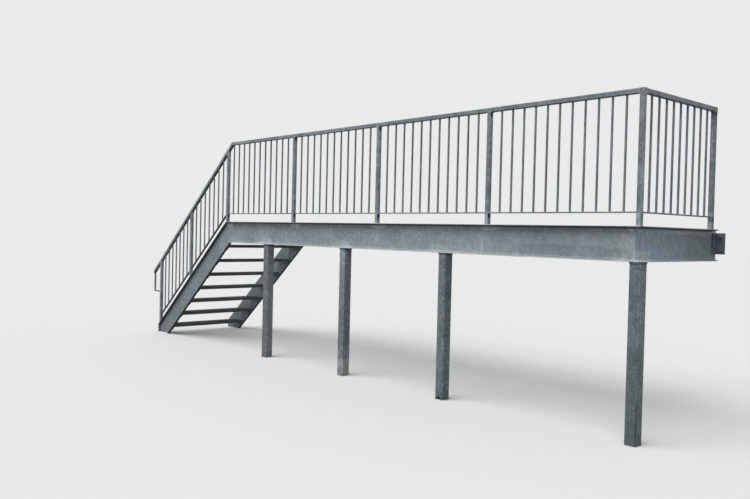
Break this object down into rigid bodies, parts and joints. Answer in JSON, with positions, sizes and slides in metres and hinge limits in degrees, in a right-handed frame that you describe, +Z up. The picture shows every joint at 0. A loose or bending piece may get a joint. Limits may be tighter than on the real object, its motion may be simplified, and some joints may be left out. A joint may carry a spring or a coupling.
{
  "type": "fire escape stair",
  "caption": "Galvanised steel fire escape: a straight grating stair along a wall up to a long railed platform on square posts.",
  "frame": {"origin": "on the wall face of the middle wall bracket, at the middle of the platform's length and at deck level", "axes": "+X along the wall, away from the stair; +Y into the wall; +Z up"},
  "size_m": [7.487, 1.34, 2.512],
  "materials": {
    "channel_steel": "hot-dip galvanised, blue-grey, mottled, with paler patches near the welds",
    "grating_steel": "hot-dip galvanised, weathered dark grey",
    "post_steel": "hot-dip galvanised, green-grey, paler above mid-height",
    "bracket_steel": "hot-dip galvanised, dark grey",
    "rail_steel": "hot-dip galvanised, dull grey",
    "infill_steel": "hot-dip galvanised, dull grey"
  },
  "bodies": {
    "root": {"front_channel": "channel_steel", "end_channel": "channel_steel", "rear_channel": "channel_steel", "header_channel": "channel_steel", "cross_beams": "channel_steel", "seat_angles": "channel_steel", "deck_panel_1": "grating_steel", "deck_panel_2": "grating_steel", "deck_panel_3": "grating_steel", "deck_panel_4": "grating_steel", "near_stringer": "channel_steel", "far_stringer": "channel_steel", "tread_1": "grating_steel", "tread_2": "grating_steel", "tread_3": "grating_steel", "tread_4": "grating_steel", "tread_5": "grating_steel", "tread_6": "grating_steel", "tread_7": "grating_steel", "support_post_1": "post_steel", "support_post_2": "post_steel", "support_post_3": "post_steel", "support_post_4": "post_steel", "wall_brackets": "bracket_steel", "end_clip": "bracket_steel", "guard_posts": "rail_steel", "stair_posts": "rail_steel", "front_rail": "rail_steel", "side_rail": "rail_steel", "stair_rail": "rail_steel", "rail_return": "rail_steel", "front_infill_1": "infill_steel", "front_infill_2": "infill_steel", "front_infill_3": "infill_steel", "front_infill_4": "infill_steel", "side_infill": "infill_steel", "stair_infill_upper": "infill_steel", "stair_infill_lower": "infill_steel"}
  },
  "joints": []
}
